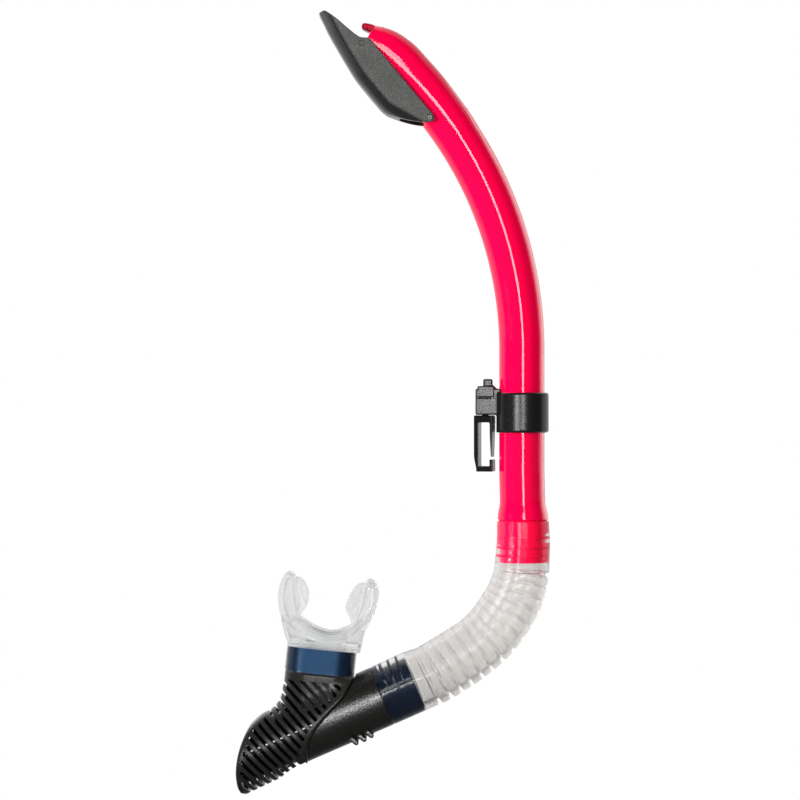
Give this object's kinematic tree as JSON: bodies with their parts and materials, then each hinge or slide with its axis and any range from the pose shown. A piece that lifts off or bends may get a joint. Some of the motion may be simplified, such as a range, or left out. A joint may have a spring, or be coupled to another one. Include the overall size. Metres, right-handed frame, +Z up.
{
  "type": "snorkel tube",
  "caption": "Curved snorkel tube with a splash guard on its top, a clip for a mask strap, a flexible corrugated hose, a slotted purge chamber and a soft mouthpiece.",
  "frame": {"origin": "centre of the strap slot in the keeper clip", "axes": "+Z up along the straight part of the barrel, +X from the clip towards the barrel, +Y across the plane in which the barrel and hose are bent"},
  "size_m": [0.173, 0.0388, 0.4301],
  "materials": {
    "barrel_red": "high-gloss moulded",
    "guard_grey": "fine-grained satin",
    "rivet_grey": "satin",
    "keeper_black": "satin",
    "clear_silicone": "clear, smooth",
    "valve_silicone": "clear, smooth",
    "body_black": "fine-grained satin"
  },
  "bodies": {
    "barrel": {"barrel": "barrel_red", "splash_guard": "guard_grey", "guard_rivets": "rivet_grey", "guard_snap_studs": "guard_grey"},
    "keeper": {"keeper_ring": "keeper_black", "swivel_stud": "keeper_black"},
    "clip": {"keeper_clip": "keeper_black"},
    "hose": {"hose": "clear_silicone"},
    "lower": {"lower_body": "body_black", "purge_cover": "body_black", "valve_seat": "body_black", "mouthpiece": "clear_silicone"},
    "valve": {"purge_valve": "valve_silicone"}
  },
  "joints": [
    {"name": "keeper_slide", "type": "slide", "parent": "barrel", "child": "keeper", "axis": [0, 0, 1], "range_m": [-0.02, 0.023], "stiffness_N_per_m": 90},
    {"name": "clip_swivel", "type": "hinge", "parent": "keeper", "child": "clip", "pos_m": [0, 0, 0], "axis": [0, 0, 1], "range_deg": [-4, 28]},
    {"name": "hose_turn", "type": "hinge", "parent": "barrel", "child": "hose", "pos_m": [0.02, 0, -0.05], "axis": [0, 0, 1], "range_deg": [-45, 45]},
    {"name": "hose_bend", "type": "hinge", "parent": "hose", "child": "lower", "pos_m": [-0.00233, 0, -0.10286], "axis": [0, -1, 0], "range_deg": [-15, 50], "stiffness_Nm_per_rad": 1.2, "deforming": ["hose"]},
    {"name": "purge_valve_lift", "type": "slide", "parent": "lower", "child": "valve", "axis": [-1, 0, 0], "range_m": [0, 0.0014], "stiffness_N_per_m": 60}
  ]
}
